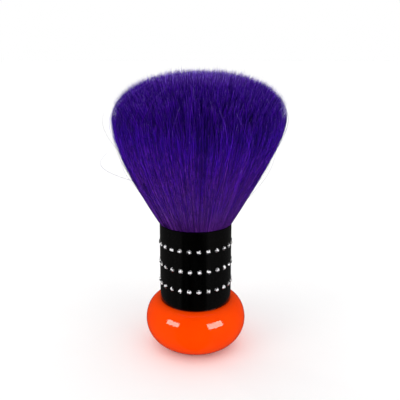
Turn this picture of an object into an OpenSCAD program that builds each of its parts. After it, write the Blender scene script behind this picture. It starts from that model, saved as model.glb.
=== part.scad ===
// Neck duster brush: a stand-up salon brush with a fan of soft filaments, a metal sleeve
// set with three rows of small stones, and a round weighted knob to stand on.
// Origin: centre of the foot, on the surface that the brush stands on. +Z up, millimetres.

/* [Knob] */
// Largest diameter of the round knob
knob_d = 42.2; // [38:0.2:50]
// Height of the knob, from the table to the lower edge of the sleeve
knob_h = 20.7; // [19:0.1:26]
// Height above the table at which the knob is widest
knob_belly_h = 11.8; // [9:0.1:15]
// Diameter of the flat underside
foot_d = 18; // [17.5:0.5:24]

/* [Sleeve] */
// Outside diameter of the metal sleeve
sleeve_d = 30; // [28:0.5:35]
// Height of the metal sleeve
sleeve_h = 33.5; // [31:0.5:40]
// Wall thickness of the metal sleeve
sleeve_wall = 1.2; // [1:0.1:1.5]

/* [Stones] */
// Stones in each of the three rows
stones_per_row = 24; // [12:1:28]
// Diameter of one stone
stone_d = 2; // [1.6:0.1:2.4]
// How far a stone stands out of the sleeve
stone_proud = 0.45; // [0.2:0.05:0.7]

/* [Bristles] */
// Height of the bristle head above the sleeve
hair_h = 61.9; // [50:0.1:75]
// Largest diameter of the bristle head
hair_d = 69.4; // [56:0.2:80]
// Height above the sleeve at which the bristle head is widest
hair_belly_h = 43.5; // [36:0.5:46]

/* [Hidden] */
$fn = 96;
FIT = 0.05;        // radial clearance between parts that are glued or pressed together
SLIP = 0.1;        // radial clearance between parts that drop into each other
SCREW_PLAY = 0.3;  // radial clearance round the screw and its washer
BIG = 200;         // longer than anything in the brush

sleeve_r = sleeve_d / 2;
bore_r = sleeve_r - sleeve_wall;
rim_z = knob_h + sleeve_h;

// Foot pad, sunk into the underside of the knob
pad_proud = 0.4;
pad_t = 1.4;
pad_r = foot_d / 2 - 0.8;
knob_floor_z = pad_proud;

// Screw that pulls the knob, the weight and the core together
screw_r = 2;
head_r = 3.5;
head_h = 2.6;
socket_r = 1.45;
socket_depth = 1.5;
head_z = pad_t + 0.5;
washer_r = 4.5;
washer_t = 0.8;
clamp_z = head_z + head_h + washer_t;
insert_r = 2.9;
insert_h = 7;
screw_tip_gap = 1;

// Weight in the knob's pocket
pocket_r = 12.5;
pocket_z = clamp_z + 2.4;
spigot_h = 3;
weight_r = pocket_r - SLIP;
weight_edge = 0.5;

// Moulded core that carries the sleeve
core_r = bore_r - FIT;
core_wall = 1.6;
core_floor_t = 2.4;
core_h = 17.5;
core_top_z = knob_h + core_h;
boss_r = 5;
insert_z = knob_h - spigot_h;
insert_top_z = insert_z + insert_h;
boss_top_z = insert_top_z + 2;
rib_count = 6;
rib_t = 1.4;
rib_drop = 1.5;

// Metal cup that holds the roots of the bristles
cup_r = bore_r - FIT;
cup_wall = 0.6;
cup_drop = 2;
cup_top_z = rim_z - cup_drop;
cup_bore_r = cup_r - cup_wall;
resin_z = core_top_z + 0.8;
resin_h = 5;
root_z = resin_z + resin_h;

// Cord tied round the roots
cord_r = 0.4;
cord_turns = 4;
cord_pitch = 2.1 * cord_r;
cord_z = root_z + 1.4;
neck_z = cord_z + cord_turns * cord_pitch;
tied_r = cup_bore_r - FIT - 2 * cord_r;

// Stones
stone_r = stone_d / 2;
stone_depth = 0.55;
girdle_h = 0.35;
table_share = 0.55;
seat_r = stone_r + 0.08;
row_turn = [4.9, 6.1, 5.1];    // where each hand-set row starts, degrees from the front

// Bristle head
mouth_r = bore_r - FIT;
hair_r = hair_d / 2;
flare_knee = 0.74;    // height of the flare's control point, as a share of hair_belly_h
dome_power = 2.2;
OUTLINE_STEPS = 24;

// Part of an ellipse about a centre, from one angle to another
function arc(centre, a, b, from, to) = [
    for (i = [0:OUTLINE_STEPS])
        let (t = from + (to - from) * i / OUTLINE_STEPS)
            [centre[0] + a * cos(t), centre[1] + b * sin(t)]
];

// A quadratic curve from p to r that leaves and arrives towards q
function curve(p, q, r) = [
    for (i = [0:OUTLINE_STEPS])
        let (t = i / OUTLINE_STEPS)
            (1 - t) * (1 - t) * p + 2 * t * (1 - t) * q + t * t * r
];

// A quarter of a superellipse, from its side to its top
function dome(r, h, z, power) = [
    for (i = [1:OUTLINE_STEPS])
        let (t = 90 * i / OUTLINE_STEPS)
            [r * pow(cos(t), 2 / power), z + h * pow(sin(t), 2 / power)]
];

// A ring or disc with its outer edges chamfered
module turned_disc(r, h, edge) {
    rotate_extrude()
        polygon([[0, 0], [r - edge, 0], [r, edge], [r, h - edge], [r - edge, h], [0, h]]);
}

// A through hole along Z
module bore(r) {
    translate([0, 0, -BIG / 2])
        cylinder(r = r, h = BIG);
}

// Soft disc under the foot, so the brush does not slide
module foot_pad() {
    color("#2b2b2b")
        turned_disc(pad_r, pad_t, 0.2);
}

// Round glossy knob with a pocket for the weight and a counterbore for the screw
module knob_shell() {
    color("#ff4a08")
        difference() {
            rotate_extrude()
                polygon(concat(
                    [[0, knob_h]],
                    arc([sleeve_r, knob_belly_h], knob_d / 2 - sleeve_r,
                        knob_h - knob_belly_h, 90, 0),
                    arc([foot_d / 2, knob_belly_h], (knob_d - foot_d) / 2,
                        knob_belly_h - knob_floor_z, 0, -90),
                    [[0, knob_floor_z]]
                ));
            translate([0, 0, pocket_z])
                cylinder(r = pocket_r, h = BIG);
            cylinder(r = pad_r + SLIP, h = pad_t);
            cylinder(r = washer_r + SCREW_PLAY, h = clamp_z);
            bore(screw_r + SCREW_PLAY);
        }
}

// Steel weight that fills the knob's pocket
module ballast_weight() {
    color("#8c8f94")
        difference() {
            translate([0, 0, pocket_z])
                turned_disc(weight_r, insert_z - pocket_z, weight_edge);
            bore(screw_r + SCREW_PLAY);
        }
}

// Button-head screw with a hexagon socket, driven from under the foot
module tie_screw() {
    color("#c9ccd1")
        difference() {
            union() {
                translate([0, 0, head_z])
                    turned_disc(head_r, head_h, 0.4);
                translate([0, 0, head_z])
                    cylinder(r = screw_r, h = insert_top_z - screw_tip_gap - head_z);
            }
            cylinder(r = socket_r, h = head_z + socket_depth, $fn = 6);
        }
}

// Flat washer under the screw's head
module screw_washer() {
    color("#b4b7bc")
        translate([0, 0, head_z + head_h])
            difference() {
                turned_disc(washer_r, washer_t, 0.15);
                bore(screw_r + SLIP);
            }
}

// Brass insert pressed into the core's boss, grooved so that it grips
module threaded_insert() {
    groove_h = 1.2;
    color("#c9a24a")
        difference() {
            translate([0, 0, insert_z])
                turned_disc(insert_r, insert_h, 0.3);
            bore(screw_r + FIT);
            translate([0, 0, insert_z + (insert_h - groove_h) / 2])
                difference() {
                    cylinder(r = insert_r + 1, h = groove_h);
                    cylinder(r = insert_r - 0.4, h = groove_h);
                }
        }
}

// Moulded core: a spigot in the knob, a wall inside the sleeve, a boss and six ribs
module handle_core() {
    wall_bore_r = core_r - core_wall;
    rib_h = core_top_z - rib_drop - knob_h;
    color("#1d1d20")
        difference() {
            union() {
                translate([0, 0, insert_z])
                    cylinder(r = pocket_r - FIT, h = knob_h - insert_z);
                difference() {
                    translate([0, 0, knob_h])
                        cylinder(r = core_r, h = core_h);
                    translate([0, 0, knob_h + core_floor_t])
                        cylinder(r = wall_bore_r, h = BIG);
                }
                core_boss();
                for (k = [0:rib_count - 1])
                    rotate([0, 0, k * 360 / rib_count])
                        translate([boss_r - 1, -rib_t / 2, knob_h])
                            cube([wall_bore_r - boss_r + 1 + core_wall / 2, rib_t, rib_h]);
            }
            translate([0, 0, insert_z - 1])
                cylinder(r = insert_r + FIT, h = insert_h + 1);
        }
}

// The boss in the middle of the core
module core_boss() {
    translate([0, 0, knob_h])
        cylinder(r = boss_r, h = boss_top_z - knob_h);
}

// Black metal sleeve with its edges broken and a blind seat under every stone
module sleeve() {
    edge = 0.3;
    seat_h = 2 * stone_r;
    color("#0b0b0d")
        difference() {
            rotate_extrude()
                polygon([
                    [bore_r, knob_h],
                    [sleeve_r - edge, knob_h],
                    [sleeve_r, knob_h + edge],
                    [sleeve_r, rim_z - edge],
                    [sleeve_r - edge, rim_z],
                    [bore_r, rim_z]
                ]);
            for (row = [0:2])
                at_stones(row)
                    cylinder(r = seat_r, h = seat_h, $fn = 24);
        }
}

// Puts its child at each stone of a row, seated in the sleeve with +Z pointing outwards
module at_stones(row) {
    row_z = rim_z - sleeve_h * (row + 1) / 4;
    for (k = [0:stones_per_row - 1])
        rotate([0, 0, row_turn[row] - 90 + k * 360 / stones_per_row])
            translate([sleeve_r - stone_depth, 0, row_z])
                rotate([0, 90, 0])
                    children();
}

// One cut stone: a straight girdle and eight sloping sides up to a flat table
module stone() {
    crown_h = stone_depth + stone_proud - girdle_h;
    cylinder(r = stone_r, h = girdle_h, $fn = 8);
    translate([0, 0, girdle_h])
        cylinder(r1 = stone_r, r2 = stone_r * table_share, h = crown_h, $fn = 8);
}

// One row of stones
module stone_row(row) {
    color("#e9edf2")
        at_stones(row)
            stone();
}

module stones_top_row() {
    stone_row(0);
}

module stones_middle_row() {
    stone_row(1);
}

module stones_bottom_row() {
    stone_row(2);
}

// Drawn metal cup that holds the roots, standing on the core's wall
module hair_cup() {
    color("#a9acb1")
        difference() {
            translate([0, 0, core_top_z])
                cylinder(r = cup_r, h = cup_top_z - core_top_z);
            translate([0, 0, resin_z])
                cylinder(r = cup_bore_r, h = BIG);
        }
}

// Resin that the roots are cast in
module root_resin() {
    color("#6e5a35")
        translate([0, 0, resin_z])
            cylinder(r = cup_bore_r - FIT, h = resin_h);
}

// Cord tied round the roots above the resin, each turn a closed ring
module binding_cord() {
    color("#d8d2c4")
        for (k = [0:cord_turns - 1])
            translate([0, 0, cord_z + k * cord_pitch])
                rotate_extrude()
                    translate([tied_r + cord_r, 0])
                        circle(r = cord_r, $fn = 24);
}

// The whole bundle of filaments: roots in the cup, a flaring fan and a domed top
module bristle_head() {
    color("#3a1079")
        rotate_extrude()
            polygon(concat(
                [
                    [0, root_z],
                    [tied_r - FIT, root_z],
                    [tied_r - FIT, neck_z],
                    [cup_bore_r - FIT, neck_z + 1],
                    [cup_bore_r - FIT, cup_top_z],
                    [mouth_r, cup_top_z + 0.6]
                ],
                curve([mouth_r, rim_z], [hair_r, rim_z + flare_knee * hair_belly_h],
                    [hair_r, rim_z + hair_belly_h]),
                dome(hair_r, hair_h - hair_belly_h, rim_z + hair_belly_h, dome_power)
            ));
}

foot_pad();
knob_shell();
ballast_weight();
tie_screw();
screw_washer();
threaded_insert();
handle_core();
sleeve();
stones_top_row();
stones_middle_row();
stones_bottom_row();
hair_cup();
root_resin();
binding_cord();
bristle_head();
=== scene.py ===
"""Neck duster brush: the looks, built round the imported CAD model."""

import math

import bpy
import numpy as np
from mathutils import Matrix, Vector


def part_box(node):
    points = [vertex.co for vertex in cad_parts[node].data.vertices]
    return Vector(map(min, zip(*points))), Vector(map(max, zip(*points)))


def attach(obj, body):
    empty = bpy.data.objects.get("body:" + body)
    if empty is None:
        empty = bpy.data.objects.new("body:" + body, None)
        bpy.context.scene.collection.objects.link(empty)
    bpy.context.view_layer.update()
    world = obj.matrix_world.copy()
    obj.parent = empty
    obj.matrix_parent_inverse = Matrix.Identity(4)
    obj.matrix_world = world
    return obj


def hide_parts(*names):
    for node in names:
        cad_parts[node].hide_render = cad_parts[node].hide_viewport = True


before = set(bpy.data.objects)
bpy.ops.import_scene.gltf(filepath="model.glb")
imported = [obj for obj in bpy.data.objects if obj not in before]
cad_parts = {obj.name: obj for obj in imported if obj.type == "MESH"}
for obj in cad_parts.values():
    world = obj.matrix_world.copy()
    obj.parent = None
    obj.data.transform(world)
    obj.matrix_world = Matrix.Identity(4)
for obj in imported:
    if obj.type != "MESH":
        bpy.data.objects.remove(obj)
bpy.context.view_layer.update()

MM = 0.001
SEED = 11
TINY = 1e-9

# Places and sizes read from the frame
sleeve_low, sleeve_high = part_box("sleeve")
hair_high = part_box("bristle_head")[1]
knob_low, knob_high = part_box("knob_shell")
SLEEVE_R = 15 * MM
SLEEVE_H = sleeve_high.z - sleeve_low.z
RIM_Z = sleeve_high.z
HAIR_R = hair_high.x
HAIR_H = hair_high.z - RIM_Z

rng = np.random.default_rng(SEED)


# ---------------------------------------------------------------- materials

NOISE_DETAIL = 3.0
COAT_ROUGHNESS = 0.03
METAL_SHADE = 0.72      # the dark marks on bare metal, as a share of its colour


def new_material(name):
    """An empty node material, and its Principled shader."""
    material = bpy.data.materials.new(name)
    material.use_nodes = True
    shader = material.node_tree.nodes["Principled BSDF"]
    return material, shader


def add(material, kind, **inputs):
    """A node of that kind with its inputs set by name."""
    node = material.node_tree.nodes.new(kind)
    for name, value in inputs.items():
        node.inputs[name.replace("_", " ")].default_value = value
    return node


def link(material, output, socket):
    material.node_tree.links.new(output, socket)


def ramp(material, factor, stops):
    """A colour ramp over factor, with stops as (position, (r, g, b))."""
    node = material.node_tree.nodes.new("ShaderNodeValToRGB")
    elements = node.color_ramp.elements
    while len(elements) < len(stops):
        elements.new(0.5)
    for element, (position, colour) in zip(elements, stops):
        element.position = position
        element.color = (*colour, 1)
    link(material, factor, node.inputs["Fac"])
    return node.outputs["Color"]


def noise(material, scale, stretch=(1, 1, 1)):
    """Noise in the object's own coordinates, stretched along an axis for brushed marks."""
    where = material.node_tree.nodes.new("ShaderNodeTexCoord")
    mapping = add(material, "ShaderNodeMapping", Scale=stretch)
    texture = add(material, "ShaderNodeTexNoise", Scale=scale, Detail=NOISE_DETAIL)
    link(material, where.outputs["Object"], mapping.inputs["Vector"])
    link(material, mapping.outputs["Vector"], texture.inputs["Vector"])
    return texture.outputs["Fac"]


def spread(material, factor, low, high):
    """factor from 0 to 1 mapped to low to high."""
    node = material.node_tree.nodes.new("ShaderNodeMapRange")
    node.inputs["To Min"].default_value = low
    node.inputs["To Max"].default_value = high
    link(material, factor, node.inputs["Value"])
    return node.outputs["Result"]


def bump(material, shader, height, distance):
    """Relief of that depth, where height goes from 0 to 1."""
    node = add(material, "ShaderNodeBump", Strength=1.0, Distance=distance)
    link(material, height, node.inputs["Height"])
    link(material, node.outputs["Normal"], shader.inputs["Normal"])


def surface(name, dark, light, rough, scale, metallic=0.0, specular=0.5, stretch=(1, 1, 1),
            relief=0.0, coat=0.0):
    """A material whose colour and roughness vary with one noise, between two colours and two roughnesses."""
    material, shader = new_material(name)
    grain = noise(material, scale, stretch)
    colour = ramp(material, grain, [(0.3, dark), (0.7, light)])
    link(material, colour, shader.inputs["Base Color"])
    link(material, spread(material, grain, *rough), shader.inputs["Roughness"])
    shader.inputs["Metallic"].default_value = metallic
    shader.inputs["Specular IOR Level"].default_value = specular
    shader.inputs["Coat Weight"].default_value = coat
    shader.inputs["Coat Roughness"].default_value = COAT_ROUGHNESS
    if relief:
        bump(material, shader, grain, relief)
    return material


def lacquer():
    """Thick glossy orange lacquer over moulded plastic."""
    return surface("orange_lacquer", (0.98, 0.056, 0.0001), (1.0, 0.064, 0.0002), (0.16, 0.24),
                   scale=120, specular=0.0, coat=1.0)


def anodised():
    """Black anodised aluminium: very dark, smooth, with faint lengthwise draw marks."""
    return surface("black_anodised_tube", (0.0002, 0.0002, 0.0002), (0.0008, 0.0008, 0.0008),
                   (0.10, 0.22), scale=700, specular=0.6, stretch=(1, 1, 0.05))


def bare_metal(name, light, rough):
    """Turned or drawn metal with faint lengthwise marks."""
    dark = tuple(METAL_SHADE * c for c in light)
    return surface(name, dark, light, rough, scale=900, metallic=1.0, stretch=(1, 1, 0.08),
                   relief=0.002 * MM)


def math_node(material, operation, value, second=None):
    """The result of a maths node on a value and, for some operations, a second number."""
    node = material.node_tree.nodes.new("ShaderNodeMath")
    node.operation = operation
    link(material, value, node.inputs[0])
    if second is not None:
        node.inputs[1].default_value = second
    return node.outputs["Value"]


def multiply(material, first, second):
    """Two colours multiplied."""
    node = material.node_tree.nodes.new("ShaderNodeMix")
    node.data_type = "RGBA"
    node.blend_type = "MULTIPLY"
    node.inputs["Factor"].default_value = 1.0
    sockets = [socket for socket in node.inputs if socket.type == "RGBA"]
    link(material, first, sockets[0])
    link(material, second, sockets[1])
    return [socket for socket in node.outputs if socket.type == "RGBA"][0]


def paint_cad(materials):
    """Gives the CAD nodes that stay their materials, by node name."""
    for name, material in materials.items():
        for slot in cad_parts[name].material_slots:
            slot.material = material


# ---------------------------------------------------------------- bristles

# The head's outline, as part.scad draws it. Heights h are above the sleeve's rim.
BELLY_H = 43.5 * MM      # where the head is widest
LIP_R = 15.2 * MM        # where the filaments fold out over the rim
LIP_H = 0.3 * MM
RIM_CLEAR = 0.02 * MM    # just above the rim, still inside the mouth
FLARE_KNEE = 0.74        # height of the flare's control point, as a share of BELLY_H
DOME_POWER = 2.1

# The fan of filaments
MOUTH_R = 13.7 * MM      # the bundle inside the sleeve
FOOT_H = -1.6 * MM       # where the filaments start, inside the sleeve
FOLD_POWER = 0.7         # how sharply they fold out over the rim
FAN_SLOPE = 0.61         # how far out the outermost filaments run per height, at the rim
FAN_CURL = 1.4           # how fast that slope falls with height, per metre
FAN_AXIS = 1.5 * MM      # how far the fan's axis stands towards +X of the sleeve's
HEAD_LEAN = 2.0 * MM     # how far the head has been brushed to one side at its top
LEAN_START = 0.2         # share of the head's height below which it stands straight
SPLAY = 0.42             # how much further the filaments fan out than the head, from rim to tip
SPLAY_RANGE = (0.4, 1.6)    # each lock's own share of that
SWAY = 0.03              # how far a lock strays sideways by the tips, as a share of the head's radius
TIDY_SWAY, LOOSE_SWAY = 1.3, 5.5    # how far single filaments stray beside that
LOOSE_SHARE = 0.22       # of the filaments, those that cross their neighbours
LOCK_SPREAD = 0.45       # how loosely a lock's filaments lie, as a share of the gap between locks
LOCK_GATHER = ((0, 0.4, 1.0), (1.0, 0.8, 0.55))    # how a lock draws together from rim to tip

# The middle under the filaments that show
CORE_INSIDE = 0.78       # its radius, as a share of the outline's
CORE_UNDER = 7 * MM      # how far its top is below the head's
CORE_FOOT_H = -1.5 * MM  # where it starts, inside the sleeve
CORE_FLARE_STEPS, CORE_DOME_STEPS = 40, 24
CORE_RAMP_LOW, CORE_RAMP_HIGH = 0.02, 0.8     # the stretch of DYE_AND_PAINTED_LIGHT_ALONG that it shows
CREASE_FOLDS = (23, 41, 67, 90)     # creases round the core, in four overlaid waves
CREASE_DEPTH = 0.006     # depth of each wave, as a share of the core's radius
CREASE_TWIST = 40        # radians per metre of height

# The filaments' tips
TIPS_ABOVE = 0.6 * MM    # the longest filaments stand this far above the outline
SHORTEST = (12 * MM, 46 * MM)   # the lowest tips end between these heights
LOCK_UNEVEN = 0.6 * MM
TIP_UNEVEN = 0.9 * MM
EARLY_SHARE = 0.1        # of the filaments, those that end up to EARLY_BY lower
EARLY_BY = 8 * MM
TIP_STEPS = 90           # heights tried for where a filament reaches the outline

# How the filaments are made
WIDTH = (0.08 * MM, 0.12 * MM)  # diameter, from the finest to the thickest
WIDTH_ALONG = ((0, 0.6, 0.9, 1.0), (1.0, 1.0, 0.8, 0.45))   # how a filament tapers from rim to tip
SIDES = 3                # of a filament's cross-section
# Where along a filament its points are
LONG_SHARES = np.array([0, 0.028, 0.045, 0.12, 0.24, 0.38, 0.52, 0.66, 0.79, 0.90, 0.965, 1.0])
END_SHARES = np.array([0, 0.3, 0.55, 0.78, 0.92, 1.0])
# How many there are, and how far from the fan's axis they leave the rim, as a share of MOUTH_R
PER_LOCK = 4
OUTER_PARTS, OUTER_LOCKS, OUTER_RHO = 9, 731, (0.45, 1.06)
INNER_PARTS, INNER_LOCKS, INNER_RHO = 8, 1000, (0.0, 0.55)
INNER_VISIBLE = 20 * MM  # of the inner filaments, only this much at the tip can be seen

# The filaments that have sprung out of the sides. Starts and lengths are shares of the head's height.
STRAY_POINTS = 14
STRAY_START = (0.1, 0.5)
STRAY_LENGTH = (0.2, 0.55)
STRAY_SHAPE = 2.0        # of the spread in how far they stand out: lower makes a few stand out far
STRAY_ARCH = (0.6, 1.1)  # share of an arch that each one makes, where 1 comes back to the head
STRAY_DRIFT = 0.2        # how far round the head it wanders, in radians
STRAY_CURVE = 1.5        # how late along its length it does so
STRAY_SUNK = 0.4 * MM    # how far inside the outline it starts
STRAY_WIDTH_ALONG = ((0, 0.7, 1), (1, 0.8, 0.3))
STRAY_RAMP_LOW = 0.6      # place on DYE_AND_PAINTED_LIGHT_ALONG where it starts

# The filaments' colour
STRAND_ROUGHNESS = (0.36, 0.52)     # of the darkest and the palest shade
STRAND_SPECULAR = 0.08
UV_NAME = "OFBake"
DYE_COLUMNS = 64         # shades, side by side along u
COLUMN_INSET = 0.15      # share of a column's width that its strands keep clear at each side
V_INSET = 0.01           # how far they keep from the two ends of v
LOCK_DYE_SHARE = 0.5     # of the filaments, those that have their lock's shade
PALE_TIP = (3 * MM, 9 * MM)     # length that turns paler as painted light, on most filaments and on the crown
CROWN_H = 0.93           # share of the head's height where the crown begins, whose tips get the longest painted pale end
PAINTED_TIP_RAMP_FROM = 0.8      # place on DYE_AND_PAINTED_LIGHT_ALONG where the tip's paler colours, painted light, begin
# Colour from root to tip, and what each shade multiplies it by. The purple is the dye; the lighter, redder
# root and lower stretch are partly dye and partly painted sheen, and the pale tips are painted light,
# standing for light through the thin tips and from above
DYE_AND_PAINTED_LIGHT_ALONG = (
    (0.0, (0.075, 0.007, 0.215)),
    (0.12, (0.080, 0.014, 0.255)),
    (0.3, (0.074, 0.008, 0.260)),
    (0.57, (0.046, 0.0003, 0.325)),
    (0.75, (0.026, 0.0001, 0.330)),
    (0.92, (0.060, 0.0006, 0.460)),
    (0.96, (0.140, 0.030, 0.640)),
    (1.0, (0.420, 0.250, 0.950)),
)
DYE_TONES = (
    (0.0, (0.06, 0.02, 0.12)),
    (0.5, (0.55, 0.45, 0.62)),
    (0.85, (1.60, 1.80, 1.45)),
    (1.0, (3.80, 8.00, 2.40)),
)


def outline_radius(h):
    """Radius of the head's outline at heights h above the rim: a flare up to the belly, then a dome."""
    knee = FLARE_KNEE * BELLY_H
    bend = BELLY_H - 2 * knee
    t = (-knee + np.sqrt(knee ** 2 + bend * np.clip(h, 0, BELLY_H))) / bend
    flare = LIP_R + (HAIR_R - LIP_R) * (1 - (1 - t) ** 2)
    rise = np.clip((h - BELLY_H) / (HAIR_H - BELLY_H), 0, 1)
    return flare * (1 - rise ** DOME_POWER) ** (1 / DOME_POWER)


def fold_out(h):
    """How far the filaments have folded out over the rim at heights h, from 0 inside the sleeve to 1."""
    return np.clip(h / LIP_H, 0, 1) ** FOLD_POWER


def fan_radius(h):
    """Radius at heights h of the outermost filaments, which run on almost straight from the rim."""
    up = np.clip(h, 0, None)
    return MOUTH_R + (LIP_R - MOUTH_R) * fold_out(h) + FAN_SLOPE * up - FAN_CURL * up ** 2


def lean(h):
    """Sideways shift of the whole head at heights h above the rim."""
    t = np.clip((h / HAIR_H - LEAN_START) / (1 - LEAN_START), 0, 1)
    return HEAD_LEAN * t * t * (3 - 2 * t)


def fan_out(disc, h):
    """Places across, relative to the head's leaning axis, of points on the unit disc at heights h."""
    r = fan_radius(h)
    return disc[..., 0] * r + FAN_AXIS * fold_out(h) - lean(h), disc[..., 1] * r


def place(disc, h):
    """Points of the head from their place on the unit disc and their height above the rim.

    What would stand outside the outline is laid along it."""
    x, y = fan_out(disc, h)
    r = np.maximum(np.hypot(x, y), TINY)
    limit = np.minimum(outline_radius(np.minimum(h, BELLY_H)), fan_radius(h))
    pull = np.where(r > limit, limit / r, 1)
    return np.stack([x * pull + lean(h), y * pull, RIM_Z + h], axis=-1)


def filament_material():
    """Dyed filaments, with painted light in their colour from root to tip. UV's v runs from root to tip, and
    each of DYE_COLUMNS columns of u is one shade.
    """
    material, shader = new_material("purple_filament_strands")
    uv = material.node_tree.nodes.new("ShaderNodeUVMap")
    uv.uv_map = UV_NAME
    split = material.node_tree.nodes.new("ShaderNodeSeparateXYZ")
    link(material, uv.outputs["UV"], split.inputs["Vector"])
    column = math_node(material, "FLOOR", math_node(material, "MULTIPLY", split.outputs["X"], DYE_COLUMNS))
    shade = material.node_tree.nodes.new("ShaderNodeTexWhiteNoise")
    shade.noise_dimensions = "1D"
    link(material, column, shade.inputs["W"])
    # colour along the filament: the purple dye, with a partly painted sheen at the root and painted light in
    # the pale tips
    along = ramp(material, split.outputs["Y"], DYE_AND_PAINTED_LIGHT_ALONG)
    tone = ramp(material, shade.outputs["Value"], DYE_TONES)
    link(material, multiply(material, along, tone), shader.inputs["Base Color"])
    link(material, spread(material, shade.outputs["Value"], *STRAND_ROUGHNESS), shader.inputs["Roughness"])
    shader.inputs["Specular IOR Level"].default_value = STRAND_SPECULAR
    return material


def tube_pattern(points):
    """One closed strand's faces: for each face its vertices, and for each corner its ring and its side."""
    faces, corners = [[0, 2, 1]], [[(0, 0), (0, 2), (0, 1)]]
    for k in range(points - 2):
        for j in range(SIDES):
            low, high = k * SIDES, (k + 1) * SIDES
            nxt = (j + 1) % SIDES
            faces.append([low + j, low + nxt, high + nxt, high + j])
            corners.append([(k, j), (k, j + 1), (k + 1, j + 1), (k + 1, j)])
    last, tip = (points - 2) * SIDES, (points - 1) * SIDES
    for j in range(SIDES):
        faces.append([last + j, last + (j + 1) % SIDES, tip])
        corners.append([(points - 2, j), (points - 2, j + 1), (points - 1, j + 0.5)])
    return faces, corners


def tube_vertices(paths, widths):
    """Vertices (strands, vertices, 3) of tubes: a ring at each point of a path but the last, and the tip."""
    count = len(paths)
    tangent = np.gradient(paths, axis=1)
    tangent /= np.linalg.norm(tangent, axis=2, keepdims=True)
    roll = rng.uniform(0, 2 * math.pi, count)
    aside = np.stack([np.cos(roll), np.sin(roll), np.zeros(count)], axis=1)[:, None, :]
    u = np.cross(tangent, aside)
    u /= np.linalg.norm(u, axis=2, keepdims=True)
    v = np.cross(tangent, u)
    rings = []
    for j in range(SIDES):
        turn = 2 * math.pi * j / SIDES
        rings.append(paths + widths[..., None] / 2 * (math.cos(turn) * u + math.sin(turn) * v))
    body = np.stack(rings, axis=2)[:, :-1].reshape(count, -1, 3)
    return np.concatenate([body, paths[:, -1:]], axis=1)


def bristle_piece(name, mesh, material):
    """The mesh as a piece of the bristle head."""
    mesh.materials.append(material)
    piece = bpy.data.objects.new(name, mesh)
    bpy.context.scene.collection.objects.link(piece)
    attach(piece, "root")
    return piece


def strand_object(name, paths, widths, along, columns, material):
    """One mesh of tapered closed strands.

    paths is (strands, points, 3). widths and along, the place on DYE_AND_PAINTED_LIGHT_ALONG, are (strands, points)."""
    count, points = paths.shape[:2]
    vertices = tube_vertices(paths, widths)
    per_strand = vertices.shape[1]
    faces, corners = tube_pattern(points)
    flat = np.concatenate([np.array(face) for face in faces])
    totals = np.tile([len(face) for face in faces], count)
    ring = np.array([corner[0] for face in corners for corner in face])
    side = np.array([corner[1] for face in corners for corner in face], float)

    mesh = bpy.data.meshes.new(name)
    mesh.vertices.add(count * per_strand)
    mesh.vertices.foreach_set("co", vertices.astype(np.float32).ravel())
    loops = (flat[None, :] + per_strand * np.arange(count)[:, None]).ravel()
    mesh.loops.add(len(loops))
    mesh.loops.foreach_set("vertex_index", loops.astype(np.int32))
    starts = np.concatenate([[0], np.cumsum(totals)[:-1]])
    mesh.polygons.add(len(totals))
    mesh.polygons.foreach_set("loop_start", starts.astype(np.int32))
    mesh.polygons.foreach_set("loop_total", totals.astype(np.int32))
    mesh.polygons.foreach_set("use_smooth", np.ones(len(totals), bool))
    layer = mesh.uv_layers.new(name=UV_NAME)
    across = COLUMN_INSET + (1 - 2 * COLUMN_INSET) * side / SIDES
    uv = np.stack([
        (columns[:, None] + across[None, :]) / DYE_COLUMNS,
        V_INSET + (1 - 2 * V_INSET) * along[:, ring],
    ], axis=-1)
    layer.data.foreach_set("uv", uv.astype(np.float32).ravel())
    mesh.update(calc_edges=True)
    mesh.validate()
    return bristle_piece(name, mesh, material)


def bundle(count, per_lock, rho_low, rho_high):
    """Strands in locks: where each lock leaves the rim, its strands' offsets and drifts, and their lock."""
    rho = np.sqrt(rng.uniform(rho_low ** 2, rho_high ** 2, count))
    angle = rng.uniform(0, 2 * math.pi, count)
    centre = np.stack([rho * np.cos(angle), rho * np.sin(angle)], axis=1)
    gap = math.sqrt(math.pi * (rho_high ** 2 - rho_low ** 2) / count)
    lock = np.repeat(np.arange(count), per_lock)
    offset = rng.normal(0, LOCK_SPREAD * gap, (len(lock), 2))
    splay = SPLAY * rng.uniform(*SPLAY_RANGE, count)[lock, None]
    own_sway = np.where(rng.random(len(lock)) < LOOSE_SHARE, LOOSE_SWAY, TIDY_SWAY)[:, None]
    drift = rng.normal(0, SWAY, (count, 2))[lock] + rng.normal(0, SWAY, (len(lock), 2)) * own_sway
    return centre[lock], offset, splay * centre[lock] + drift, lock


def disc_at(centre, offset, drift, h):
    """Places on the unit disc of strands at heights (strands, points) above the rim."""
    rise = np.clip(h / HAIR_H, 0, 1)[..., None]
    gather = np.interp(rise, *LOCK_GATHER)
    return centre[:, None] + offset[:, None] * gather + drift[:, None] * rise


def tips(centre, offset, drift, lock):
    """Height above the rim of each strand's tip: where it reaches the outline, some a little short of it."""
    h = np.linspace(0, HAIR_H, TIP_STEPS)[None, :]
    disc = disc_at(centre, offset, drift, np.broadcast_to(h, (len(lock), TIP_STEPS)))
    past = np.hypot(*fan_out(disc, h)) > outline_radius(h)
    past[:, -1] = True
    end = h[0, np.argmax(past, axis=1)]
    end = np.maximum(end, rng.uniform(*SHORTEST, len(lock)))
    together = rng.normal(0, LOCK_UNEVEN, lock.max() + 1)[lock]
    short = np.abs(rng.normal(0, TIP_UNEVEN, len(lock)))
    early = np.where(rng.random(len(lock)) < EARLY_SHARE, rng.uniform(0, EARLY_BY, len(lock)), 0)
    return end + together - short - early + TIPS_ABOVE


def dye(lock):
    """A dye column for each strand: its lock's, or one of its own."""
    base = rng.integers(0, DYE_COLUMNS, lock.max() + 1)[lock]
    return np.where(rng.random(len(lock)) < LOCK_DYE_SHARE, base, rng.integers(0, DYE_COLUMNS, len(lock)))


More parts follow.
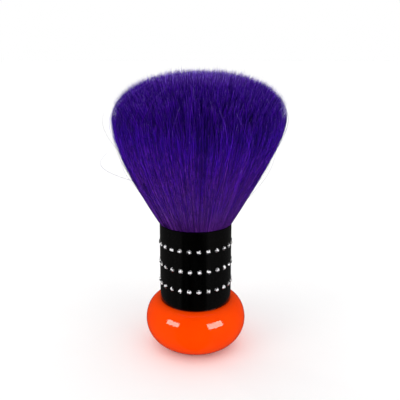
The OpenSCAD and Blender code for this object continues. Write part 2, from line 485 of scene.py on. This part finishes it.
def shade_along(h):
    """Where each point falls on DYE_AND_PAINTED_LIGHT_ALONG: by height at first, then by how near the
    strand's tip it is. The pale end by the tip is painted light, longest on the crown.
    """
    below_tip = h[:, -1:] - h
    pale = np.interp(h[:, -1:], [CROWN_H * HAIR_H, HAIR_H], PALE_TIP)
    # the paler colours near the tip are painted light
    by_tip = 1 - (1 - PAINTED_TIP_RAMP_FROM) * below_tip / pale
    return np.clip(np.maximum(PAINTED_TIP_RAMP_FROM * h / HAIR_H, by_tip), 0, 1)


def bristles(name, material, count, rho, share, visible=None):
    """Filaments from inside the sleeve to their tips, or only their last stretch, visible metres long."""
    centre, offset, drift, lock = bundle(count, PER_LOCK, *rho)
    top = tips(centre, offset, drift, lock)
    if visible:
        h = top[:, None] - visible * (1 - share[None, :])
    else:
        h = FOOT_H + share[None, :] * (top - FOOT_H)[:, None]
        h[:, 1] = RIM_CLEAR
        h[:, 2] = LIP_H
    paths = place(disc_at(centre, offset, drift, h), h)
    width = rng.uniform(*WIDTH, len(lock))
    widths = np.interp(h / top[:, None], *WIDTH_ALONG) * width[:, None]
    strand_object(name, paths, widths, shade_along(h), dye(lock), material)


def all_bristles(material):
    """The long outer filaments in parts, then the ends of those inside, which make the domed top."""
    for part in range(OUTER_PARTS):
        bristles(f"bristles_outer_{part + 1}", material, OUTER_LOCKS, OUTER_RHO, LONG_SHARES)
    for part in range(INNER_PARTS):
        bristles(f"bristles_inner_{part + 1}", material, INNER_LOCKS, INNER_RHO, END_SHARES, INNER_VISIBLE)


def stray_bristles(name, material, count, width, stand_off_scale):
    """Fine filaments that arch out of the sides, at their farthest by twice stand_off_scale on average."""
    share = np.linspace(0, 1, STRAY_POINTS)
    angle = rng.uniform(0, 2 * math.pi, count)
    start = rng.uniform(*STRAY_START, count) * HAIR_H
    length = rng.uniform(*STRAY_LENGTH, count) * HAIR_H
    h = start[:, None] + share[None, :] * length[:, None]
    reach = rng.gamma(STRAY_SHAPE, stand_off_scale, count)
    arch = rng.uniform(*STRAY_ARCH, count)[:, None] * share[None, :]
    stand_off = reach[:, None] * np.sin(math.pi * np.clip(arch, 0, 1))
    drift = rng.uniform(-STRAY_DRIFT, STRAY_DRIFT, count)[:, None] * share[None, :] ** STRAY_CURVE
    turn = angle[:, None] + drift
    r = outline_radius(h) - STRAY_SUNK + stand_off
    paths = np.stack([r * np.cos(turn) + lean(h), r * np.sin(turn), RIM_Z + h], axis=-1)
    widths = np.tile(width * np.interp(share, *STRAY_WIDTH_ALONG), (count, 1))
    # the strays' tips run into the pale end of the ramp, painted light
    along = np.tile(STRAY_RAMP_LOW + (1 - STRAY_RAMP_LOW) * share, (count, 1))
    columns = rng.integers(0, DYE_COLUMNS, count)
    strand_object(name, paths, widths, along, columns, material)


LATHE_STEPS = 360


def lathe(name, outline):
    """A closed surface of revolution from an outline of (radius, height) points, outside upwards.

    The outline starts and ends on the axis, or else never touches it and is closed into a ring."""
    vertices, rings = [], []
    for r, z in outline:
        turns = 2 * math.pi * np.arange(LATHE_STEPS if r > 0 else 1) / LATHE_STEPS
        rings.append(len(vertices) + np.arange(len(turns)))
        vertices += [(r * math.cos(t), r * math.sin(t), z) for t in turns]
    pairs = list(zip(rings, rings[1:]))
    if outline[0][0] > 0:
        pairs.append((rings[-1], rings[0]))
    faces = []
    for low, high in pairs:
        for i in range(LATHE_STEPS):
            nxt = (i + 1) % LATHE_STEPS
            if len(low) == 1:
                faces.append((low[0], high[nxt], high[i]))
            elif len(high) == 1:
                faces.append((low[i], low[nxt], high[0]))
            else:
                faces.append((low[i], low[nxt], high[nxt], high[i]))
    mesh = bpy.data.meshes.new(name)
    mesh.from_pydata(vertices, [], faces)
    mesh.polygons.foreach_set("use_smooth", np.ones(len(faces), bool))
    mesh.update()
    return mesh


def core_outline():
    """The head's outline drawn inwards, up its flare and over its dome."""
    outline = [(0, RIM_Z + CORE_FOOT_H)]
    for h in np.linspace(CORE_FOOT_H, BELLY_H, CORE_FLARE_STEPS):
        outline.append((CORE_INSIDE * outline_radius(h), RIM_Z + h))
    for t in np.linspace(0, 0.5 * math.pi, CORE_DOME_STEPS)[1:-1]:
        r = math.cos(t) ** (2 / DOME_POWER)
        z = math.sin(t) ** (2 / DOME_POWER)
        outline.append((CORE_INSIDE * HAIR_R * r, RIM_Z + BELLY_H + (HAIR_H - BELLY_H - CORE_UNDER) * z))
    outline.append((0, RIM_Z + HAIR_H - CORE_UNDER))
    return outline


def bristle_core(material):
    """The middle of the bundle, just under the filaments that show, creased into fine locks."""
    mesh = lathe("bristle_core", core_outline())
    co = np.zeros(len(mesh.vertices) * 3)
    mesh.vertices.foreach_get("co", co)
    co = co.reshape(-1, 3)
    h = co[:, 2] - RIM_Z
    turn = np.arctan2(co[:, 1], co[:, 0])
    crease = np.zeros(len(co))
    for folds in CREASE_FOLDS:
        phase = rng.uniform(0, 2 * math.pi)
        crease += np.sin(folds * turn + phase + CREASE_TWIST * h * rng.uniform(-1, 1))
    depth = 1 - CREASE_DEPTH * crease * np.clip(h / BELLY_H, 0, 1)
    co[:, 0] = co[:, 0] * depth + lean(h)
    co[:, 1] *= depth
    mesh.vertices.foreach_set("co", co.ravel())
    layer = mesh.uv_layers.new(name=UV_NAME)
    index = np.zeros(len(mesh.loops), np.int32)
    mesh.loops.foreach_get("vertex_index", index)
    v = np.clip(h / HAIR_H, CORE_RAMP_LOW, CORE_RAMP_HIGH)
    wrap = (turn / (2 * math.pi)) % 1
    layer.data.foreach_set("uv", np.stack([wrap[index], v[index]], axis=1).ravel())
    mesh.update()
    piece = bristle_piece("bristle_core", mesh, material)
    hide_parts("bristle_head")


# ---------------------------------------------------------------- knob

KNOB_BELLY_Z = 11.8 * MM    # height of the widest place above the table
FOOT_R = 9.0 * MM           # the flat underside
PAD_SEAT = (8.3 * MM, 1.4 * MM)        # radius, and height of its top, of each hollow in the knob
WASHER_SEAT = (4.8 * MM, 5.3 * MM)
WEIGHT_POCKET = (12.5 * MM, 7.7 * MM)
SCREW_HOLE_R = 2.3 * MM
ARC_STEPS = 64
SHARP_ANGLE = math.radians(30)


def quarter_ellipse(centre, reach, height, start, end):
    """Points along an ellipse round centre between two angles in degrees, without the last."""
    turns = np.radians(np.linspace(start, end, ARC_STEPS, endpoint=False))
    return [(centre[0] + reach * math.cos(t), centre[1] + height * math.sin(t)) for t in turns]


def knob_skin(material):
    """The knob as part.scad draws it, finely divided so that its reflections have clean edges."""
    knob_r = knob_high.x
    knob_top = sleeve_low.z
    pocket_r, pocket_z = WEIGHT_POCKET
    outline = [(pocket_r, knob_top), (pocket_r, pocket_z), (SCREW_HOLE_R, pocket_z)]
    for seat_r, seat_z in (WASHER_SEAT, PAD_SEAT):
        outline.append((outline[-1][0], seat_z))
        outline.append((seat_r, seat_z))
    outline.append((PAD_SEAT[0], knob_low.z))
    outline += quarter_ellipse((FOOT_R, KNOB_BELLY_Z), knob_r - FOOT_R, KNOB_BELLY_Z - knob_low.z, -90, 0)
    outline += quarter_ellipse((SLEEVE_R, KNOB_BELLY_Z), knob_r - SLEEVE_R, knob_top - KNOB_BELLY_Z, 0, 90)
    outline.append((SLEEVE_R, knob_top))
    mesh = lathe("knob_skin", outline)
    mesh.set_sharp_from_angle(angle=SHARP_ANGLE)
    mesh.materials.append(material)
    piece = bpy.data.objects.new(mesh.name, mesh)
    bpy.context.scene.collection.objects.link(piece)
    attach(piece, "root")
    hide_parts("knob_shell")


# ---------------------------------------------------------------- stones

STONES_PER_ROW = 24
STONE_R = 1.0 * MM
STONE_DEPTH = 0.55 * MM
STONE_PROUD = 0.45 * MM
ROW_TURN = (4.9, 6.1, 5.1)      # degrees from the front, as part.scad sets them
SPIN = 0.25         # how unevenly the stones are turned in their seats, in radians
FACETS = 8
# The cut, as shares of the stone's radius and height
GIRDLE_TOP = 0.32
CROWN_BREAK_R, CROWN_BREAK_H = 0.80, 0.74   # where the girdle's facets meet the table's
TABLE_R = 0.52
# How the facets are painted: bright as painted reflections off the foil, dark as painted shade
LIT_TONES = (0.8, 1.0, 1.0)
UNLIT_TONES = (0.0, 0.0, 0.15)
FACET_REACH = (0.6, 0.8, 1.0)       # how far from the stone's middle a facet reaches
LIT_SHARE = (0.95, 0.90, 0.25)      # chance that it is painted bright, as a reflection
NOTCH = -0.4        # facets lower round a stone than this are painted dark, as shade on its underside, from -1 at its bottom to 1 at its top
NOTCH_LIT_SHARE = 0.06              # chance that such a facet is bright all the same


def crystal():
    """Foil-backed cut glass: each facet is bright or dark by the painted light stored on it, painted
    reflection where bright and painted shade where dark, under a glossy coat.
    """
    material, shader = new_material("foiled_crystal")
    tone = material.node_tree.nodes.new("ShaderNodeAttribute")
    tone.attribute_name = "facet_painted_light"
    # painted light: dark painted shade, then mid and bright painted reflections off the foil
    colour = ramp(material, tone.outputs["Fac"], [
        (0.0, (0.010, 0.010, 0.012)),
        (0.35, (0.30, 0.30, 0.33)),
        (1.0, (0.97, 0.97, 1.0)),
    ])
    link(material, colour, shader.inputs["Base Color"])
    link(material, spread(material, noise(material, 2500), 0.04, 0.10), shader.inputs["Roughness"])
    shader.inputs["Coat Weight"].default_value = 1.0
    shader.inputs["Coat Roughness"].default_value = COAT_ROUGHNESS
    return material


def cut_stone():
    """Corners and faces of one stone along +Z: a flat back, a girdle, kite and star facets, and a table."""
    step = 2 * math.pi / FACETS
    total = STONE_DEPTH + STONE_PROUD
    levels = [
        (2 * FACETS, STONE_R, 0.0, 0.0),
        (2 * FACETS, STONE_R, GIRDLE_TOP * total, 0.0),
        (FACETS, CROWN_BREAK_R * STONE_R, CROWN_BREAK_H * total, 0.5 * step),
        (FACETS, TABLE_R * STONE_R, total, 0.0),
    ]
    points, first = [], []
    for count, r, z, turn in levels:
        first.append(len(points))
        for i in range(count):
            a = 2 * math.pi * i / count + turn
            points.append((r * math.cos(a), r * math.sin(a), z))
    back, girdle, middle, table = first
    rim = 2 * FACETS
    faces = [tuple(back + i for i in reversed(range(rim)))]
    for i in range(rim):
        nxt = (i + 1) % rim
        faces.append((back + i, back + nxt, girdle + nxt, girdle + i))
    for i in range(FACETS):
        nxt = (i + 1) % FACETS
        faces.append((girdle + 2 * i, girdle + 2 * i + 1, middle + i))
        faces.append((girdle + 2 * i + 1, girdle + (2 * i + 2) % rim, middle + i))
        faces.append((table + i, middle + i, table + nxt))
        faces.append((girdle + (2 * i + 2) % rim, middle + nxt, table + nxt, middle + i))
    centre = len(points)
    points.append((0, 0, total))
    for i in range(FACETS):
        faces.append((table + i, table + (i + 1) % FACETS, centre))
    return np.array(points), faces


def painted_facet_light(points, faces, spin):
    """How bright each facet is painted: mostly bright as a painted reflection, but often painted dark by the
    girdle, and dark as painted shade where it faces down.
    """
    facet_lights = []
    for face in faces:
        corners = points[list(face)]
        middle = corners.mean(axis=0)
        down = math.sin(math.atan2(middle[1], middle[0]) + spin) < NOTCH
        out = np.hypot(corners[:, 0], corners[:, 1]).max() / STONE_R
        chance = NOTCH_LIT_SHARE if down else np.interp(out, FACET_REACH, LIT_SHARE)
        lit = rng.random() < chance
        facet_lights.append(rng.choice(LIT_TONES if lit else UNLIT_TONES))
    return facet_lights


def stone_row(name, node, row, material):
    """A row of cut stones in the sleeve's seats, each turned a little about its own axis."""
    points, faces = cut_stone()
    row_z = RIM_Z - SLEEVE_H * (row + 1) / 4
    vertices, all_faces, facet_lights = [], [], []
    for k in range(STONES_PER_ROW):
        spin = rng.normal(0, SPIN)
        c, s = math.cos(spin), math.sin(spin)
        x = points[:, 0] * c - points[:, 1] * s
        y = points[:, 0] * s + points[:, 1] * c
        out = SLEEVE_R - STONE_DEPTH + points[:, 2]
        turn = math.radians(ROW_TURN[row] - 90) + 2 * math.pi * k / STONES_PER_ROW
        out_x, out_y = math.cos(turn), math.sin(turn)
        start = len(vertices)
        for px, py, pz in zip(x, y, out):
            vertices.append((pz * out_x - px * out_y, pz * out_y + px * out_x, row_z + py))
        all_faces += [tuple(start + i for i in face) for face in faces]
        facet_lights += painted_facet_light(points, faces, spin)
    mesh = bpy.data.meshes.new(name)
    mesh.from_pydata(vertices, [], all_faces)
    # the painted reflection and shade of each facet
    tone = mesh.attributes.new("facet_painted_light", "FLOAT", "FACE")
    tone.data.foreach_set("value", np.array(facet_lights, np.float32))
    mesh.update()
    mesh.materials.append(material)
    piece = bpy.data.objects.new(name, mesh)
    bpy.context.scene.collection.objects.link(piece)
    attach(piece, "root")
    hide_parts(node)


# ---------------------------------------------------------------- studio

CAMERA_DISTANCE = 14 * SLEEVE_R        # from the brush's axis, level with the camera
CAMERA_Z = sleeve_low.z + 6.676 * SLEEVE_R
CAMERA_PITCH = math.radians(10.97)
FOCAL = 1.31                           # focal length as a share of the picture's width
SENSOR = 36
FRAMING_SHIFT = (0.011, -0.1)
LAMP_DISTANCE = 0.8                    # from the knob, in metres
SKY_LOW, SKY_HIGH = 0.97, 1.03         # brightness of the light from the horizon and from straight above
LAMP_COLOUR = (1.0, 0.97, 0.9)
ROOM_LEVEL = 0.05                      # brightness of what gloss reflects, beside white's 1
DARK_AZIMUTH = -6                      # middle of the dark side, degrees from the front towards +X
DARK_INNER, DARK_OUTER = 33, 45        # degrees either side of that where it starts and stops fading
FLOOR_HALF = 30.0


def make_camera():
    data = bpy.data.cameras.new("camera")
    data.sensor_width = SENSOR
    data.lens = FOCAL * SENSOR
    data.shift_x, data.shift_y = FRAMING_SHIFT
    data.clip_start = 0.01
    camera = bpy.data.objects.new("camera", data)
    camera.location = (0, -CAMERA_DISTANCE, CAMERA_Z)
    camera.rotation_euler = (math.pi / 2 - CAMERA_PITCH, 0, 0)
    bpy.context.scene.collection.objects.link(camera)
    bpy.context.scene.camera = camera


def softbox(name, azimuth, elevation, width, height, glint, fill):
    """A rectangular lamp aimed at the knob. Azimuth is from the front towards +X, in degrees.

    glint is its brightness in reflections and fill its brightness as a light."""
    target = Vector((0, 0, 0.5 * (knob_low.z + knob_high.z)))
    az, el = math.radians(azimuth), math.radians(elevation)
    way = Vector((math.sin(az) * math.cos(el), -math.cos(az) * math.cos(el), math.sin(el)))
    for use, radiance in (("glint", glint), ("fill", fill)):
        data = bpy.data.lights.new(f"{name}_{use}", "AREA")
        data.shape = "RECTANGLE"
        data.size, data.size_y = width, height
        data.energy = radiance * math.pi * width * height
        data.color = LAMP_COLOUR
        lamp = bpy.data.objects.new(data.name, data)
        lamp.location = target + LAMP_DISTANCE * way
        lamp.rotation_euler = (-way).to_track_quat("-Z", "Y").to_euler()
        lamp.visible_diffuse = use == "fill"
        lamp.visible_glossy = use == "glint"
        bpy.context.scene.collection.objects.link(lamp)


def background(tree, strength):
    """White light of the strength that another node gives."""
    node = tree.nodes.new("ShaderNodeBackground")
    node.inputs["Color"].default_value = (1, 1, 1, 1)
    tree.links.new(strength, node.inputs["Strength"])
    return node.outputs["Background"]


def smooth_step(tree, value, start, end, low, high):
    """From low to high, smoothly, as value goes from start to end."""
    node = tree.nodes.new("ShaderNodeMapRange")
    node.interpolation_type = "SMOOTHSTEP"
    node.inputs["From Min"].default_value = start
    node.inputs["From Max"].default_value = end
    node.inputs["To Min"].default_value = low
    node.inputs["To Max"].default_value = high
    tree.links.new(value, node.inputs["Value"])
    return node.outputs["Result"]


def vector_math(tree, operation, vector, second=(0, 0, 0)):
    """A vector maths node on a vector and, for some operations, a second one."""
    node = tree.nodes.new("ShaderNodeVectorMath")
    node.operation = operation
    tree.links.new(vector, node.inputs[0])
    node.inputs[1].default_value = second
    return node


def mix_shaders(tree, share, first, second):
    """first where share is 0 and second where it is 1."""
    node = tree.nodes.new("ShaderNodeMixShader")
    tree.links.new(share, node.inputs["Fac"])
    tree.links.new(first, node.inputs[1])
    tree.links.new(second, node.inputs[2])
    return node.outputs["Shader"]


def make_surroundings():
    """White all round for lighting. Reflections see a dim room, darkest where the photographer stands."""
    world = bpy.data.worlds.new("studio")
    world.use_nodes = True
    tree = world.node_tree
    way = tree.nodes.new("ShaderNodeTexCoord").outputs["Generated"]

    white = tree.nodes["Background"]
    white.inputs["Color"].default_value = (1, 1, 1, 1)
    up = tree.nodes.new("ShaderNodeSeparateXYZ")
    tree.links.new(way, up.inputs["Vector"])
    sky = background(tree, smooth_step(tree, up.outputs["Z"], 0, 1, SKY_LOW, SKY_HIGH))

    level = vector_math(tree, "MULTIPLY", way, (1, 1, 0))
    unit = vector_math(tree, "NORMALIZE", level.outputs["Vector"])
    dark = math.radians(DARK_AZIMUTH)
    dark_way = (math.sin(dark), -math.cos(dark), 0)
    toward = vector_math(tree, "DOT_PRODUCT", unit.outputs["Vector"], dark_way)
    outer, inner = (math.cos(math.radians(angle)) for angle in (DARK_OUTER, DARK_INNER))
    room = background(tree, smooth_step(tree, toward.outputs["Value"], outer, inner, ROOM_LEVEL, 0))

    path = tree.nodes.new("ShaderNodeLightPath")
    lit = mix_shaders(tree, path.outputs["Is Camera Ray"], sky, white.outputs["Background"])
    shown = mix_shaders(tree, path.outputs["Is Glossy Ray"], lit, room)
    tree.links.new(shown, tree.nodes["World Output"].inputs["Surface"])
    return world


def make_floor():
    """A wide white floor that the knob's gloss doesn't show."""
    corners = [(-1, -1), (1, -1), (1, 1), (-1, 1)]
    mesh = bpy.data.meshes.new("floor")
    mesh.from_pydata([(x * FLOOR_HALF, y * FLOOR_HALF, 0) for x, y in corners], [], [(0, 1, 2, 3)])
    paper = surface("pale_floor", (0.99, 0.99, 0.99), (1.0, 1.0, 1.0), (0.6, 0.7), scale=40, specular=0.0)
    mesh.materials.append(paper)
    floor = bpy.data.objects.new("floor", mesh)
    floor.visible_glossy = False
    bpy.context.scene.collection.objects.link(floor)


def make_studio():
    scene = bpy.context.scene
    scene.view_settings.view_transform = "Standard"
    scene.world = make_surroundings()
    softbox("softbox_left", azimuth=-55, elevation=22, width=0.42, height=0.27, glint=9.5, fill=3.0)
    softbox("softbox_right", azimuth=46, elevation=20, width=0.50, height=0.34, glint=9.5, fill=2.2)
    make_floor()


# ---------------------------------------------------------------- the brush

make_camera()
make_studio()

bright_steel = bare_metal("turned_steel", (0.62, 0.62, 0.65), (0.22, 0.36))
paint_cad({
    "foot_pad": surface("foot_rubber", (0.012, 0.012, 0.013), (0.03, 0.03, 0.032), (0.7, 0.9),
                        scale=1500, relief=0.03 * MM),
    "ballast_weight": bare_metal("weight_steel", (0.42, 0.42, 0.44), (0.35, 0.5)),
    "tie_screw": bright_steel,
    "screw_washer": bright_steel,
    "threaded_insert": surface("insert_brass", (0.60, 0.38, 0.13), (0.78, 0.55, 0.24), (0.25, 0.4),
                               scale=800, metallic=1.0),
    "handle_core": surface("core_plastic", (0.008, 0.008, 0.009), (0.016, 0.016, 0.018), (0.4, 0.55),
                           scale=600, relief=0.005 * MM),
    "sleeve": anodised(),
    "hair_cup": bare_metal("drawn_aluminium", (0.70, 0.71, 0.73), (0.3, 0.42)),
    "root_resin": surface("cast_resin", (0.24, 0.15, 0.05), (0.36, 0.25, 0.10), (0.15, 0.3), scale=200),
    "binding_cord": surface("waxed_thread", (0.42, 0.38, 0.30), (0.68, 0.63, 0.54), (0.7, 0.9),
                            scale=2500, relief=0.05 * MM),
})

knob_skin(lacquer())

strands = filament_material()
bristle_core(strands)
all_bristles(strands)
stray_bristles("bristles_stray", strands, count=90, width=0.10 * MM, stand_off_scale=1.0 * MM)
stray_bristles("bristles_fuzz", strands, count=900, width=0.08 * MM, stand_off_scale=0.22 * MM)

stones = crystal()
for row, place_name in enumerate(("top", "middle", "bottom")):
    stone_row(f"cut_stones_{place_name}", f"stones_{place_name}_row", row, stones)
